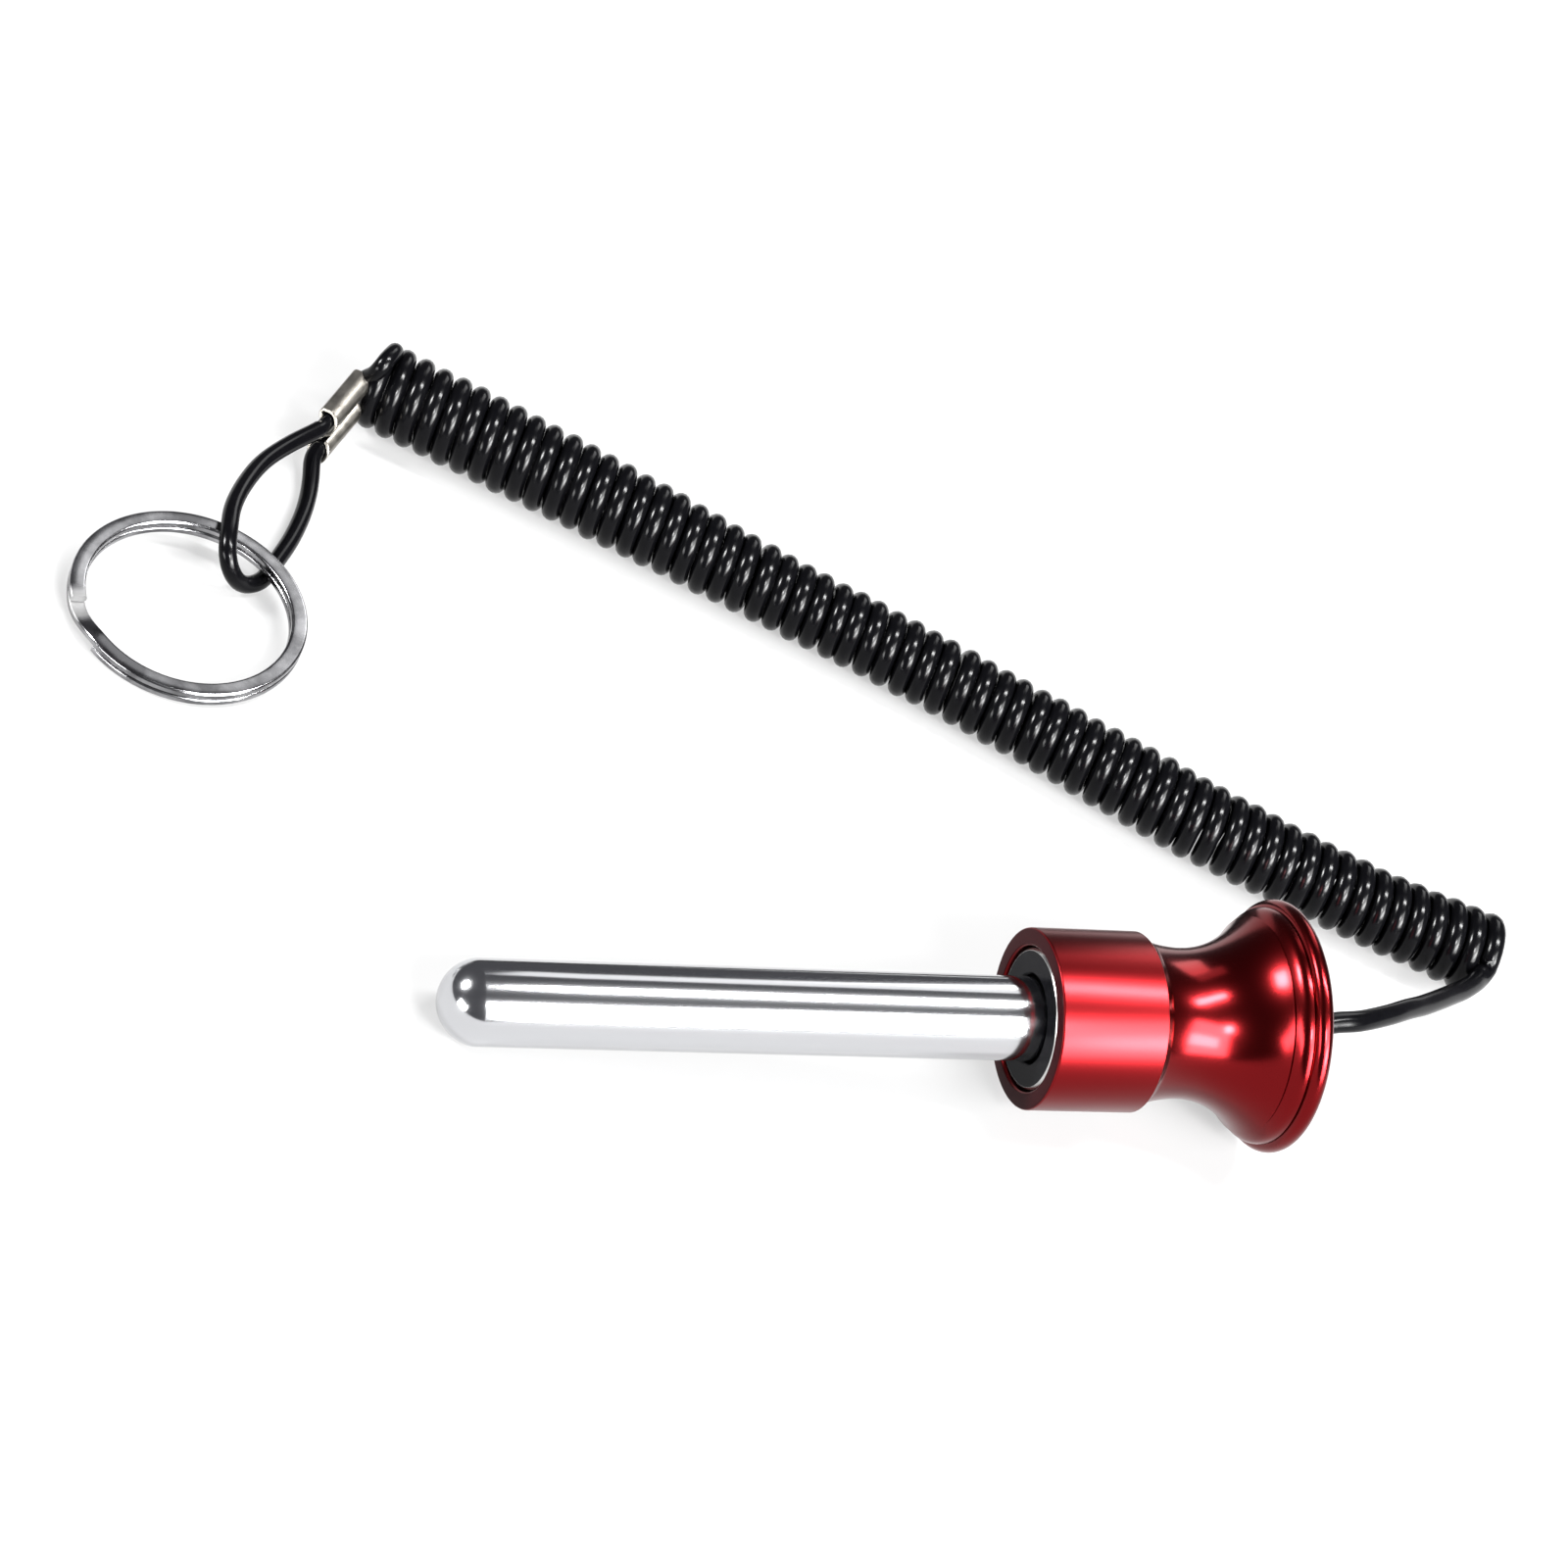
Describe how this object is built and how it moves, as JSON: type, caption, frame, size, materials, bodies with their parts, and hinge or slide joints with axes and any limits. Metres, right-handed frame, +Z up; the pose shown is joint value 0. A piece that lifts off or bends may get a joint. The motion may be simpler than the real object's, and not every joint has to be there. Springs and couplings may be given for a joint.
{
  "type": "weight stack pin",
  "caption": "Weight stack selector pin with a domed steel bar, a turned knob with a magnetic collar, and a coiled cord that ends in a crimped loop and a split ring.",
  "frame": {"origin": "the middle of the pin and knob's box, on the surface that they lie on", "axes": "+X along the pin from its nose towards its knob, +Z up, +Y towards the coiled cord"},
  "size_m": [0.1855, 0.1225, 0.0302],
  "materials": {
    "ground_steel": "ground and polished along its length",
    "magnet_black": "gloss black coating",
    "red_anodised": "red anodised, satin collar and glossy waist",
    "stop_zinc": "plain crimped",
    "cord_black": "smooth satin black covering",
    "nickel_plate": "nickel plated, pressed",
    "ring_nickel": "bright nickel plate"
  },
  "bodies": {
    "pin": {"pin_shaft": "ground_steel", "magnet_ring": "magnet_black", "knob": "red_anodised", "cord_stop": "stop_zinc", "cord_lead": "cord_black", "cord_coil": "cord_black", "cord_tail": "cord_black", "cord_loop": "cord_black", "ferrule": "nickel_plate"},
    "ring": {"split_ring": "ring_nickel"}
  },
  "joints": [
    {"name": "ring_swing", "type": "hinge", "parent": "pin", "child": "ring", "pos_m": [-0.06598, 0.07172, 0.00365], "axis": [-0.8192, 0.5736, 0], "range_deg": [0, 150]}
  ]
}
